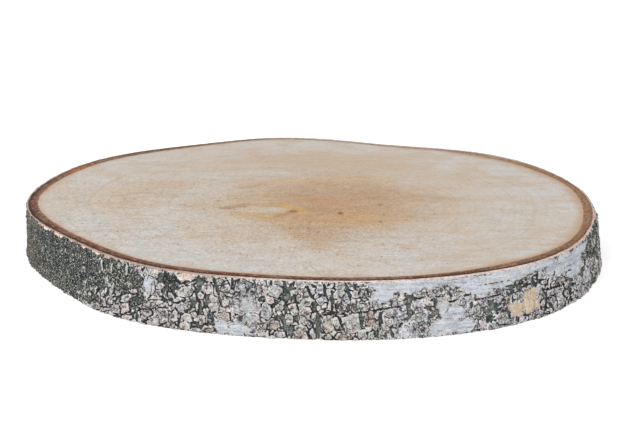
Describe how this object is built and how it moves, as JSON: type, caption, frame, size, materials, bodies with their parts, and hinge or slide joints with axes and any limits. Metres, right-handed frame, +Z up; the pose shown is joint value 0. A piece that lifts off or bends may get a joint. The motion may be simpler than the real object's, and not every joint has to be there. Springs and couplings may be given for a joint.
{
  "type": "birch wood slice",
  "caption": "Flat disc sawn across a birch trunk, with an uneven round outline and its ring of fissured pale bark.",
  "frame": {"origin": "middle of the slice's box, on the base that it lies on", "axes": "+Z up through the slice's thickness, -Y towards the side that the picture shows, +X to the right there"},
  "size_m": [0.3172, 0.2948, 0.028],
  "materials": {
    "sawn_wood": "sanded, dry and matt, with faint rings and an ochre heart",
    "inner_bark": "dry, matt and fibrous, dark reddish brown",
    "outer_bark": "matt cream plates in dark grey-green fissures, with papery grey-white patches"
  },
  "bodies": {
    "root": {"wood": "sawn_wood", "bark": "outer_bark"}
  },
  "joints": []
}
